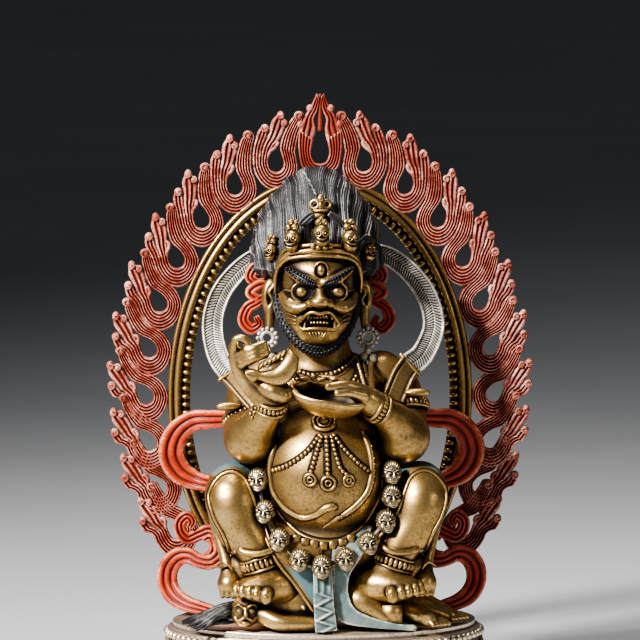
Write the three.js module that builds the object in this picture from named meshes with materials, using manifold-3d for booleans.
// A pot-bellied protector squatting on a corpse, with a curved knife and a skull cup, a scarf
// that billows round the head and loops beside the legs, a pierced ring of flames behind, and an
// oval lotus plinth. Millimetres, +Z up, the front faces -Y, origin under the plinth's middle.
import * as THREE from "three";
import { mergeVertices } from "three/addons/utils/BufferGeometryUtils.js";
import Module from "manifold-3d";

const wasm = await Module();
wasm.setup();

// Driving dimensions.
const FIGURE_HEIGHT = 228; // from the plinth's top to the top of the hair
const PLINTH_HEIGHT = 38;
const PLINTH_TOP = { x: 76, y: 50 }; // half width and half depth of the top plate
const PLINTH_FLARE = 12; // how far the foot stands out beyond the top plate
const PLATE_THICKNESS = 2.4;
const PETALS = 18;
const GAP = 0.3; // between pieces that rest on or fit in each other

const RING_THICKNESS = 5;
const RING_BACK = 39; // y of the flame ring's back
const LAYER = 0.3; // overlapping flames are this much thinner than each other
const RAIL = { x: 74, up: 109, down: 106 }; // half axes of the gold rail's ellipse
const RAIL_CLEARANCE = 2; // from the plinth's top to where the rail's ellipse would end below
const RING_CENTRE_Z = RAIL.down + RAIL_CLEARANCE; // where the ring is widest
const RAIL_WIDTH = 7;
const BEAD_STRIP_WIDTH = 4.4; // the band of beads inside the rail
const FLAME_LINE = 14.2; // from the rail's middle out to the middle of the flames' eyes
const FLAMES_PER_SIDE = 10;
const FLAME_PITCH = 23.9; // along the line through the eyes
const FIRST_FLAME = 22.3; // along that line, from the top to the first flame beside it
const FOOT_BAR = { halfWidth: 42, height: 9 };
const TENON = { x: 30, width: 14, depth: 9 };
const TENON_THICKNESS = RING_THICKNESS - 2 * LAYER;

// The figure keeps its proportions: every place and size below is a share of its height,
// written as the millimetres that it measures on a figure 228 mm high.
const SHARE = FIGURE_HEIGHT / 228;

const FRONT = new THREE.Vector3(0, -1, 0);
const SIDES = [-1, 1];

// Closes a stack of rings, each a list of points in the same order, into one body facing out.
function loft(rings) {
  const sides = rings[0].length;
  const points = rings.flat();
  const faces = [];
  for (let ring = 0; ring + 1 < rings.length; ring++) {
    for (let side = 0; side < sides; side++) {
      const a = ring * sides + side;
      const b = ring * sides + ((side + 1) % sides);
      faces.push([a, b, b + sides], [a, b + sides, a + sides]);
    }
  }
  const last = (rings.length - 1) * sides;
  for (let side = 1; side + 1 < sides; side++) {
    faces.push([0, side + 1, side], [last, last + side, last + side + 1]);
  }
  const volume = faces.reduce(
    (sum, [a, b, c]) => sum + points[a].dot(points[b].clone().cross(points[c])),
    0,
  );
  if (volume < 0) faces.forEach((face) => face.reverse());
  const geometry = new THREE.BufferGeometry().setFromPoints(points);
  return geometry.setIndex(faces.flat());
}

function ball([x, y, z], [rx, ry, rz], { around = 5, down = 4, tilt = 0 } = {}) {
  return new THREE.SphereGeometry(1, around, down)
    .rotateX(Math.PI / 2)
    .scale(rx, ry, rz)
    .rotateY(tilt)
    .translate(x, y, z);
}

// A rounded limb through stations [x, y, z, radius] or [x, y, z, radius across, radius along].
function limb(stations, { sides = 5, steps = stations.length - 1, roundEnd = true } = {}) {
  const curve = new THREE.CatmullRomCurve3(stations.map(([x, y, z]) => new THREE.Vector3(x, y, z)));
  const radii = new THREE.CatmullRomCurve3(
    stations.map(([, , , across, along = across]) => new THREE.Vector3(across, along, 0)),
  );
  const ring = (centre, tangent, across, along) => {
    const side = tangent.clone().cross(FRONT).normalize();
    const top = side.clone().cross(tangent);
    return Array.from({ length: sides }, (_, i) => {
      const turn = (2 * Math.PI * i) / sides;
      return centre
        .clone()
        .addScaledVector(side, across * Math.cos(turn))
        .addScaledVector(top, along * Math.sin(turn));
    });
  };
  const rings = [];
  for (let step = 0; step <= steps; step++) {
    const t = step / steps;
    const size = radii.getPoint(t);
    rings.push(ring(curve.getPoint(t), curve.getTangent(t), size.x, size.y));
  }
  if (roundEnd) {
    const size = radii.getPoint(1);
    const tangent = curve.getTangent(1);
    const tip = curve.getPoint(1).addScaledVector(tangent, 0.6 * Math.min(size.x, size.y));
    rings.push(ring(tip, tangent, 0.55 * size.x, 0.55 * size.y));
  }
  return loft(rings);
}

function hoop([x, y, z], radius, tube, { lean = 0, around = 6 } = {}) {
  return new THREE.TorusGeometry(radius, tube, 3, around).rotateX(lean).translate(x, y, z);
}

// A band that faces the front, between an inner and an outer edge of as many stations
// [x, z, optional y], with ridges that run along it. y is the middle of its thickness.
function band(inner, outer, { thickness, ridges = 2, relief = 0.9, y = 0 }) {
  const rings = inner.map(([xi, zi, shift = 0], i) => {
    const [xo, zo] = outer[i];
    const at = (share, depth) =>
      new THREE.Vector3(xi + share * (xo - xi), y + shift + depth, zi + share * (zo - zi));
    const front = [];
    for (let point = 0; point <= 2 * ridges; point++) {
      const groove = point % 2 === 0 ? relief : 0;
      front.push(at(point / (2 * ridges), -thickness / 2 + groove));
    }
    return [...front, at(1, thickness / 2), at(0, thickness / 2)];
  });
  return loft(rings);
}

// The two edges of a ribbon through stations [x, z, width, optional y].
function ribbon(stations, options) {
  const curve = new THREE.CatmullRomCurve3(stations.map(([x, z, , y = 0]) => new THREE.Vector3(x, y, z)));
  const widths = new THREE.CatmullRomCurve3(
    stations.map(([, , width], i) => new THREE.Vector3(width, i, 0)),
  );
  const steps = options.steps ?? stations.length;
  const inner = [];
  const outer = [];
  for (let step = 0; step <= steps; step++) {
    const t = step / steps;
    const centre = curve.getPoint(t);
    const half = widths.getPoint(t).x / 2;
    const along = curve.getTangent(t);
    const across = new THREE.Vector2(-along.z, along.x).normalize().multiplyScalar(half);
    inner.push([centre.x - across.x, centre.z - across.y, centre.y]);
    outer.push([centre.x + across.x, centre.z + across.y, centre.y]);
  }
  return band(inner, outer, options);
}

function solid(geometry) {
  const bare = geometry.index ? geometry.toNonIndexed() : geometry.clone();
  bare.deleteAttribute("normal");
  bare.deleteAttribute("uv");
  const merged = mergeVertices(bare, 1e-4);
  return new wasm.Manifold(
    new wasm.Mesh({
      numProp: 3,
      vertProperties: merged.attributes.position.array,
      triVerts: new Uint32Array(merged.index.array),
    }),
  );
}

const join = (geometries) => geometries.map(solid).reduce((all, next) => all.add(next));

function toGeometry(made) {
  const { numProp, vertProperties, triVerts } = made.getMesh();
  const count = vertProperties.length / numProp;
  const position = new Float32Array(3 * count);
  for (let i = 0; i < count; i++) {
    position.set(vertProperties.subarray(i * numProp, i * numProp + 3), 3 * i);
  }
  const geometry = new THREE.BufferGeometry();
  geometry.setAttribute("position", new THREE.BufferAttribute(position, 3));
  geometry.setIndex(new THREE.BufferAttribute(new Uint32Array(triVerts), 1));
  return geometry;
}

// The belly is the ground that the ornaments lie on.
const BELLY = { centre: [-1, -21, 77], radii: [32, 30, 34] };

function onBelly(x, z, proud = 0) {
  const [cx, cy, cz] = BELLY.centre;
  const [rx, ry, rz] = BELLY.radii;
  const rest = 1 - ((x - cx) / rx) ** 2 - ((z - cz) / rz) ** 2;
  return [x, cy - ry * Math.sqrt(Math.max(rest, 0.06)) - proud, z];
}

function torso() {
  const hem = [-28, -17, 0, 17, 27].map((x) => {
    const z = 77 - 35 * Math.sqrt(1 - (x / 34) ** 2);
    return [...onBelly(0.86 * x, z + 3, 1.5), 2.2];
  });
  const trunk = [
    [0, -1, 22, 35, 24], [0, -1, 48, 42, 28], [0, 0, 74, 35, 26], [0, -1, 98, 34, 25],
    [0, -4, 118, 34, 24], [-1, -3, 132, 29, 18], [-2, -3, 142, 17, 15],
  ];
  return [
    limb(trunk, { sides: 8 }),
    ball(BELLY.centre, BELLY.radii, { around: 12, down: 7 }),
    limb(hem, { sides: 3, steps: 6 }),
    ball([0, -24, 42], [30, 18.5, 17], { around: 7 }),
  ];
}

function leg(side) {
  const toes = [31, 33, 34.9, 36.8, 38.8, 40.8, 42.7, 44.6, 46.6].map((x, i) => {
    const size = i % 2 === 0 ? 3.4 - 0.1 * i : 2;
    return [side * x, -47 + 0.45 * i, 18 + 0.75 * i, size, 1.3 * size];
  });
  const ankletRadius = 11.4;
  return [
    limb([[side * 20, 4, 56, 18], [side * 34, -10, 64, 18], [side * 46, -22, 67, 15]]),
    limb(
      [
        [side * 47, -25, 72, 11], [side * 46.5, -29, 66, 13.5], [side * 43, -32, 53, 12],
        [side * 34.5, -34, 39, 9.2], [side * 33.5, -34, 37, ankletRadius],
        [side * 31.5, -34, 31, ankletRadius], [side * 29, -34, 24, 8.6],
      ],
      { sides: 6, roundEnd: false },
    ),
    limb([
      [side * 13, -27, 21, 8], [side * 24, -34, 23, 8.5, 10], [side * 33, -40, 21, 7, 10],
      [side * 39, -43, 20, 4.5, 9],
    ]),
    limb(
      [[side * 57, -14, 62, 4], [side * 53, -19, 44, 3.5], [side * 49, -23, 30, 5], [side * 49, -25, 22, 7]],
      { sides: 4 },
    ),
    limb(toes, { sides: 4, roundEnd: false }),
  ];
}

function arm(side) {
  const armbandRadius = 13.4;
  return [
    limb(
      [
        [side * 31, -2, 129, 10.5], [side * 37, -6, 118, 11.6], [side * 38, -8, 113.5, armbandRadius],
        [side * 38.7, -12, 106.5, armbandRadius], [side * 38, -24, 96, 12],
      ],
      { sides: 6 },
    ),
    ball([side * 38, -28, 95], [13, 13, 13], { around: 7, down: 5 }),
    limb(
      [
        [side * 38, -31, 97, 11], [side * 30.5, -41, 107, 9], [side * 29, -42.5, 109, 10.2],
        [side * 26, -45.5, 113, 9.6], [side * 24.5, -46.5, 115, 7.5],
      ],
      { roundEnd: false },
    ),
  ];
}

function knifeHand() {
  const blade = {
    top: [[-42, 132], [-35, 130], [-27, 131], [-20, 135.5], [-15, 141]],
    edge: [[-42.5, 130.5], [-34, 125.5], [-26, 123.5], [-17, 127], [-11, 137]],
  };
  const fingers = { sides: 4, roundEnd: false };
  return [
    ball([-29, -47, 118], [9.5, 8, 8], { around: 7, down: 5 }),
    band(blade.top, blade.edge, { thickness: 5, ridges: 1, relief: 1.5, y: -54 }),
    limb([[-33, -49, 122, 3], [-28, -51, 133, 2.8], [-21, -50, 141, 2.6]], fingers),
    limb([[-37, -47, 120, 3], [-40, -49, 131, 2.8], [-38, -50, 138, 2.2]], fingers),
    limb([[-37, -49, 131, 2.6], [-33, -53, 135, 2.5], [-28, -54, 134, 2.2]], fingers),
  ];
}

function cupHand() {
  const profile = [[0, -11.5], [8, -9.8], [14, -4.5], [16.5, 1.2], [14, 1.2], [0, -5]];
  const bowl = new THREE.LatheGeometry(profile.map(([r, h]) => new THREE.Vector2(r, h)), 12)
    .rotateX(Math.PI / 2)
    .scale(1.08, 0.72, 1)
    .rotateX(0.35)
    .translate(-1, -50, 121);
  const fingers = [0, 2].map((finger) =>
    limb(
      [
        [18, -53 + 3 * finger, 121 + finger, 3], [7, -56 + 3.4 * finger, 124.5 + 0.8 * finger, 2.4],
        [-3 + 2 * finger, -55 + 4 * finger, 125 + finger, 2],
      ],
      { sides: 4, roundEnd: false },
    ),
  );
  return [
    bowl,
    ball([-2, -46.5, 122.5], [11, 5, 4]),
    limb([[24, -46, 115, 8, 7], [19, -50, 119.5, 5, 7.5], [14, -52, 121.5, 3.5, 6]]),
    ...fingers,
  ];
}

// The head leans a little to the figure's right, so it has a middle of its own.
const HEAD_X = -3.5;

function hair() {
  const locks = 10;
  const depth = 0.04; // of the grooves between the locks, as a share of the radius
  const radii = { x: 32.5, y: 26.5, up: 44.5, down: 26 };
  const flow = new THREE.SphereGeometry(1, 2 * locks, 6).rotateX(Math.PI / 2);
  const place = flow.attributes.position;
  for (let i = 0; i < place.count; i++) {
    const [x, y, z] = [place.getX(i), place.getY(i), place.getZ(i)];
    const wave = 1 + depth * Math.cos(locks * Math.atan2(y, x));
    place.setXYZ(i, radii.x * x * wave, radii.y * y * wave, z * (z > 0 ? radii.up : radii.down));
  }
  return flow.translate(HEAD_X, 3, 183);
}

function head() {
  const beardEnd = Math.PI / 2.1; // how far round the chin the beard reaches to each side
  const beard = [-1, -0.6, -0.2, 0.2, 0.6, 1].map((share) => {
    const turn = share * beardEnd;
    const rise = 24 * (1 - Math.cos(turn));
    return [HEAD_X - 0.7 + 20.5 * Math.sin(turn), -8 - 19 * Math.cos(turn), 140 + rise, 3];
  });
  const parts = [
    ball([HEAD_X, -9, 165], [20, 26, 26], { around: 9, down: 6 }),
    ball([HEAD_X - 0.5, -12, 153], [18.5, 20, 12], { around: 9, down: 4 }),
    hair(),
    limb(beard, { sides: 3 }),
    ball([HEAD_X - 1, -34, 164.5], [6, 5, 4.6], { around: 6 }),
    ball([HEAD_X, -32, 179], [2.2, 2, 3.4], { around: 4, down: 3 }),
    ball([HEAD_X - 0.5, -29.5, 153.5], [11, 4.4, 5.6], { around: 7 }),
  ];
  for (const side of SIDES) {
    parts.push(
      ball([HEAD_X + side * 9.1, -30, 168.6], [4.6, 3.8, 4], { around: 6 }),
      limb(
        [
          [HEAD_X + side * 2.6, -33, 172.5, 1.6], [HEAD_X + side * 9, -31, 174, 2.2],
          [HEAD_X + side * 15.5, -26, 178.5, 1.5],
        ],
        { sides: 3, roundEnd: false },
      ),
      ball([HEAD_X + side * 12, -25, 160], [7.5, 7, 4], { around: 6, tilt: -side * 0.4 }),
      ball([HEAD_X + side * 23.5, -7, 160], [4, 5, 14], { around: 5 }),
      hoop([HEAD_X + side * 24.2, -8, 143], 4.6, 1.9, { lean: Math.PI / 2, around: 6 }),
      limb(
        [
          [HEAD_X + side * 25, 0, 175, 3], [HEAD_X + side * 31, -1, 165, 3.2],
          [HEAD_X + side * 33.5, -2, 158, 2.6], [HEAD_X + side * 29, -3, 148, 2.6],
        ],
        { sides: 4 },
      ),
    );
  }
  return parts;
}

// Five skulls stand in a ring on the crown's band, which arches over the brows.
const CROWN = { radius: 27, skullTurn: 0.58, skullDrop: 2.3, bandTurn: Math.PI / 2.3 };

function crown() {
  const skulls = [-2, -1, 0, 1, 2].map((place) => {
    const turn = place * CROWN.skullTurn;
    const x = HEAD_X + CROWN.radius * Math.sin(turn);
    const y = -3.5 - CROWN.radius * Math.cos(turn);
    const z = 195 - CROWN.skullDrop * place * place;
    return limb(
      [[x, y, z - 5.5, 3.4], [x, y, z, 5], [x, y + 0.7, z + 4.5, 3.6], [x, y + 1.4, z + 12, 0.6]],
      { roundEnd: false },
    );
  });
  const brow = [-1, -0.6, 0, 0.6, 1].map((share) => {
    const turn = share * CROWN.bandTurn;
    const x = HEAD_X + 22.5 * Math.sin(turn);
    return [x, -6 - 24.5 * Math.cos(turn), 170 + 18 * Math.cos(turn), 2.6, 4];
  });
  return [
    ...skulls,
    limb(brow, { sides: 4, steps: 7 }),
    hoop([HEAD_X + 0.7, -20, 210], 4.6, 2, { lean: 0.3, around: 6 }),
  ];
}

const SCARF = { thickness: 3.2, ridges: 1, relief: 0.8 };
const RED_SCARF = { thickness: 5, ridges: 1, relief: 1.6 };

function scarf(side) {
  const arc = [
    [side * 24, 185, 9, 10], [side * 40, 177, 10, 10], [side * 50, 166, 10.5, 9], [side * 55, 150, 11, 7],
    [side * 54, 137, 11, 2], [side * 48, 123, 11, -7], [side * 41, 115, 10, -16], [side * 33, 108, 9, -22],
  ];
  const loop = [
    [side * 40, 101, 9, -8], [side * 55, 99.5, 10, 12], [side * 70, 95, 12, 19], [side * 75, 84, 14, 21],
    [side * 73, 72, 14, 22], [side * 62, 66, 9, 20], [side * 50, 67, 5, 8], [side * 38, 66, 5, -4],
  ];
  const curl = [
    [side * 67, 46, 5, 18], [side * 71, 43, 6, 19], [side * 68, 36, 8, 20], [side * 58, 37, 9, 18],
    [side * 53, 30, 9, 14], [side * 58, 24, 8, 12], [side * 68, 30, 8, 16], [side * 78, 28, 9, 20],
    [side * 81, 17, 11, 20], [side * 74, 7, 9, 14], [side * 66, 3.5, 5.5, 8],
  ];
  return [
    ribbon(arc, { ...SCARF, steps: 6 }),
    ribbon(loop, { ...RED_SCARF, steps: 7 }),
    ribbon(curl, { ...RED_SCARF, steps: 11 }),
    limb([[side * 34, 4, 42, 10], [side * 58, 14, 30, 6]], { sides: 4 }),
    limb([[side * 34, 4, 16, 7], [side * 72, 14, 9, 3]], { sides: 4 }),
  ];
}

function garland() {
  const string = new THREE.CatmullRomCurve3(
    [
      [-34, -33, 80], [-31, -35.5, 62], [-21, -41, 45], [-3, -43.5, 36.5], [15, -42, 42],
      [28.5, -36.5, 56], [33, -33, 81],
    ].map((p) => new THREE.Vector3(...p)),
  );
  return string.getSpacedPoints(9).map(({ x, y, z }) => ball([x, y, z], [6, 5.4, 7], { down: 3 }));
}

function ornaments() {
  const snake = [
    [...onBelly(3.5, 64.5, 1.2), 2.6], [...onBelly(-4, 59, 0.8), 2.1],
    [...onBelly(-14, 57.5, 0.8), 2.1], [...onBelly(-22, 63, 0.8), 2.1],
    [...onBelly(-27, 74, 0.8), 2.1], [-29.5, -27, 88, 2.1], [-28, -20, 101, 2],
  ];
  const tail = [
    [21, -29, 104, 2.2], [...onBelly(24, 90, 0.8), 2.2], [...onBelly(23.5, 78, 0.8), 2.2],
    [...onBelly(17, 65, 0.8), 2.1], [...onBelly(7, 56, 0.8), 1.8], [...onBelly(-3, 51.5, 0.8), 0.8],
  ];
  const discs = [[0, 103, 4.5], [-1, 76, 3.8]];
  return [
    limb(snake, { sides: 3, steps: 7 }),
    limb(tail, { sides: 3, steps: 6 }),
    ...discs.map(([x, z, r]) => ball(onBelly(x, z, 0.4), [r, 1.7, r], { around: 5, down: 3 })),
  ];
}

function skirt() {
  const fall = { thickness: 4, ridges: 2, relief: 0.9 };
  const sash = [[-3, 36, 12, -45], [-2, 16, 14, -46], [-1.5, 9, 16, -46], [-1, 1.2, 18, -46.2]];
  return [
    ribbon(sash, { ...fall, steps: 3 }),
    ball([10, -30, 20], [18, 14.5, 19.5], { around: 7, down: 5 }),
    limb([[16, -42, 20, 5, 3], [24, -42, 9, 8, 3], [36, -40, 1.6, 9, 1.3]], { sides: 5, roundEnd: false }),
  ];
}

function corpse() {
  return [
    ball([-13, -20, 14.5], [27, 22, 14.2], { around: 9, down: 4 }),
    ball([-41, -36, 10.5], [8.2, 8, 8.8], { around: 6 }),
    limb([[-46, -33, 14, 7, 5], [-57, -29, 9.5, 7, 6], [-68, -22, 5, 4.2, 4]], { sides: 5 }),
    limb([[-30, -39, 7, 5.6], [-20, -41.5, 5.8, 4.6], [-7, -42.5, 5, 4.3]], { sides: 5 }),
    limb([[10, -33, 17, 9], [18, -37, 13, 8], [29, -38, 7.6, 6.8]]),
    limb([[24, -20, 9, 8.5], [36, -30, 9, 6.5], [46, -35, 8, 5.5], [54, -37, 5, 4, 4.5]]),
    limb([[34, -14, 12, 9], [48, -15, 11, 6.5], [57, -17, 9, 5.5], [65, -17.5, 5, 4, 4.5]]),
  ];
}

// Squares off whatever would reach below the plinth's top, and leaves the gap that it rests on.
function standOn(made, level) {
  const far = 400;
  const slab = solid(new THREE.BoxGeometry(far, far, far).translate(0, 0, level - far / 2));
  return made.subtract(slab);
}

function figure() {
  const parts = [
    ...torso(),
    ...SIDES.flatMap(leg),
    ...SIDES.flatMap(arm),
    ...knifeHand(),
    ...cupHand(),
    ...head(),
    ...crown(),
    ...SIDES.flatMap(scarf),
    ...garland(),
    ...ornaments(),
    ...skirt(),
    ...corpse(),
  ];
  parts.forEach((part) => part.scale(SHARE, SHARE, SHARE));
  return standOn(join(parts), GAP);
}

// The place and the turn of a flame's eye, a distance along the line of eyes from its top.
function eyeAt(along) {
  const samples = 400;
  const point = (turn) => {
    const down = Math.cos(turn) < 0 ? RAIL.down : RAIL.up;
    return [(RAIL.x + FLAME_LINE) * Math.sin(turn), RING_CENTRE_Z + (down + FLAME_LINE) * Math.cos(turn)];
  };
  let left = along;
  for (let i = 1; i <= samples; i++) {
    const [x0, z0] = point((Math.PI * (i - 1)) / samples);
    const [x1, z1] = point((Math.PI * i) / samples);
    const step = Math.hypot(x1 - x0, z1 - z0);
    if (left <= step) {
      const share = left / step;
      return { x: x0 + (x1 - x0) * share, z: z0 + (z1 - z0) * share, turn: (Math.PI * i) / samples };
    }
    left -= step;
  }
  return { x: 0, z: point(Math.PI)[1], turn: Math.PI };
}

// One flame: a ribbon folded round its eye, with a tongue that rises from the fold's outer side.
// Each station is [towards the ring's middle, up] from the eye, on the inner and the outer edge.
const FLAME = {
  inner: [[-2, 20], [-3.4, 12], [-4.2, 1], [-2.6, -4], [1.2, -4.6], [3.4, 0], [-0.6, 8], [1.5, 25]],
  outer: [[-6.5, 24], [-13.4, 13], [-11.8, -2], [-5, -11.2], [2, -13], [11, -4], [7.8, 9], [7.4, 23.5]],
};
const CREST = {
  inner: [[-4, 5], [-4.6, 1], [-3, -3.4], [0, -4.4], [3, -3.4], [4.6, 1], [4, 5]],
  outer: [[-12, 12], [-10.5, 3], [-8.5, -7], [0, -11], [8.5, -7], [10.5, 3], [12, 12]],
  tongueLeft: [[-12, 4.4], [-10, 13], [-6.5, 19], [-3.5, 25], [-0.8, 31.5]],
  tongueRight: [[12, 4.4], [10, 13], [6.5, 19], [3.5, 25], [0.8, 31.5]],
};
const UPRIGHT_TURN = 0.58; // round the ring, where a flame stands straight up
const LEAN_SHARE = 0.8; // how far the flames follow the ring's turn beyond that
const MOST_LEAN = 0.7;
const LEAN_FROM = -6; // up from the eye: below this height the fold itself stays level
const LEAN_OVER = 16;
const RAIL_STATIONS = 24;

// Sets the stations of a flame into the ring.
function setFlame(side, along) {
  const eye = eyeAt(along);
  const lean = Math.min(LEAN_SHARE * (eye.turn - UPRIGHT_TURN), MOST_LEAN);
  return ([inward, up]) => {
    const angle = lean * Math.min(Math.max((up - LEAN_FROM) / LEAN_OVER, 0), 1);
    const x = eye.x - inward * Math.cos(angle) + up * Math.sin(angle);
    return [side * x, eye.z + up * Math.cos(angle) + inward * Math.sin(angle)];
  };
}

function flameRing() {
  const y = RING_BACK - RING_THICKNESS / 2;
  const body = { thickness: RING_THICKNESS, ridges: 1, relief: 1.3, y };
  const parts = [];
  for (const side of SIDES) {
    for (let i = 0; i < FLAMES_PER_SIDE; i++) {
      const set = setFlame(side, FIRST_FLAME + FLAME_PITCH * i);
      const thickness = RING_THICKNESS - (i % 2 === 0 ? 1 : 2) * LAYER;
      parts.push(band(FLAME.inner.map(set), FLAME.outer.map(set), { ...body, thickness }));
    }
  }
  const top = eyeAt(0);
  const setCrest = ([across, up]) => [top.x + across, top.z + up];
  const fold = [CREST.inner, CREST.outer].map((edge) => edge.map(setCrest));
  parts.push(band(...fold, { ...body, thickness: RING_THICKNESS - 2 * LAYER }));
  const tongue = [CREST.tongueLeft, CREST.tongueRight].map((edge) => edge.map(setCrest));
  parts.push(band(...tongue, { ...body, thickness: RING_THICKNESS - 3 * LAYER }));

  const foot = ringEnd();
  const edge = (out) =>
    Array.from({ length: RAIL_STATIONS + 1 }, (_, i) => {
      const turn = foot * (-1 + (2 * i) / RAIL_STATIONS);
      const down = Math.cos(turn) < 0 ? RAIL.down : RAIL.up;
      return [(RAIL.x + out) * Math.sin(turn), RING_CENTRE_Z + (down + out) * Math.cos(turn)];
    });
  parts.push(band(edge(-RAIL_WIDTH / 2 - BEAD_STRIP_WIDTH), edge(RAIL_WIDTH / 2), { ...body, ridges: 2 }));

  const bar = new THREE.BoxGeometry(2 * FOOT_BAR.halfWidth, RING_THICKNESS - LAYER, FOOT_BAR.height);
  parts.push(bar.translate(0, y, FOOT_BAR.height / 2 + GAP));
  for (const side of SIDES) {
    const reach = TENON.depth + FOOT_BAR.height / 2;
    const tenon = new THREE.BoxGeometry(TENON.width, TENON_THICKNESS, reach);
    parts.push(tenon.translate(side * TENON.x, y, FOOT_BAR.height / 2 - reach / 2 + GAP));
  }
  return join(parts);
}

// The turn round the rail's ellipse where it comes down to the foot bar.
function ringEnd() {
  return Math.PI - Math.acos((RING_CENTRE_Z - FOOT_BAR.height / 2) / RAIL.down);
}

function plinth() {
  const steps = 3 * PETALS;
  // Height, how far out from the top plate's edge, and how far the petals bulge there.
  const profile = [
    [0, PLINTH_FLARE, 0], [3.4, PLINTH_FLARE, 0], [4.6, PLINTH_FLARE - 2.5, 1.3],
    [11, PLINTH_FLARE - 5, 1.3], [17, 1, 0], [23, 4.6, 1.3], [29, 2.4, 1.3], [30, 3.4, 0],
    [PLINTH_HEIGHT - 3.4, 3.4, 0], [PLINTH_HEIGHT - PLATE_THICKNESS, 0, 0], [PLINTH_HEIGHT, 0, 0],
  ];
  const oval = (height, out, bulge) =>
    Array.from({ length: steps }, (_, i) => {
      const turn = (2 * Math.PI * (i + 0.5)) / steps;
      const reach = out + (i % 3 === 0 ? -bulge : bulge);
      const x = (PLINTH_TOP.x + reach) * Math.cos(turn);
      return new THREE.Vector3(x, (PLINTH_TOP.y + reach) * Math.sin(turn), height);
    });
  const slotDepth = TENON.depth + GAP;
  const slot = (side) => {
    const space = new THREE.BoxGeometry(TENON.width + 2 * GAP, TENON_THICKNESS + 2 * GAP, 2 * slotDepth);
    return solid(space.translate(side * TENON.x, RING_BACK - RING_THICKNESS / 2, PLINTH_HEIGHT));
  };
  return solid(loft(profile.map((level) => oval(...level)))).subtract(slot(-1)).subtract(slot(1));
}

const gilt = new THREE.MeshStandardMaterial({ color: 0xb08a45, metalness: 0.9, roughness: 0.38 });
const red = new THREE.MeshStandardMaterial({ color: 0xa33a2a, metalness: 0.1, roughness: 0.55 });
const lotus = new THREE.MeshStandardMaterial({ color: 0xa5864c, metalness: 0.8, roughness: 0.45 });

function piece(name, made, material, height = 0) {
  const mesh = new THREE.Mesh(toGeometry(made), material);
  mesh.name = name;
  mesh.position.z = height;
  return mesh;
}

const statue = new THREE.Group();
statue.add(piece("lotus_plinth", plinth(), lotus));
statue.add(piece("mahakala_figure", figure(), gilt, PLINTH_HEIGHT));
statue.add(piece("flame_aureole", flameRing(), red, PLINTH_HEIGHT));

export default statue;
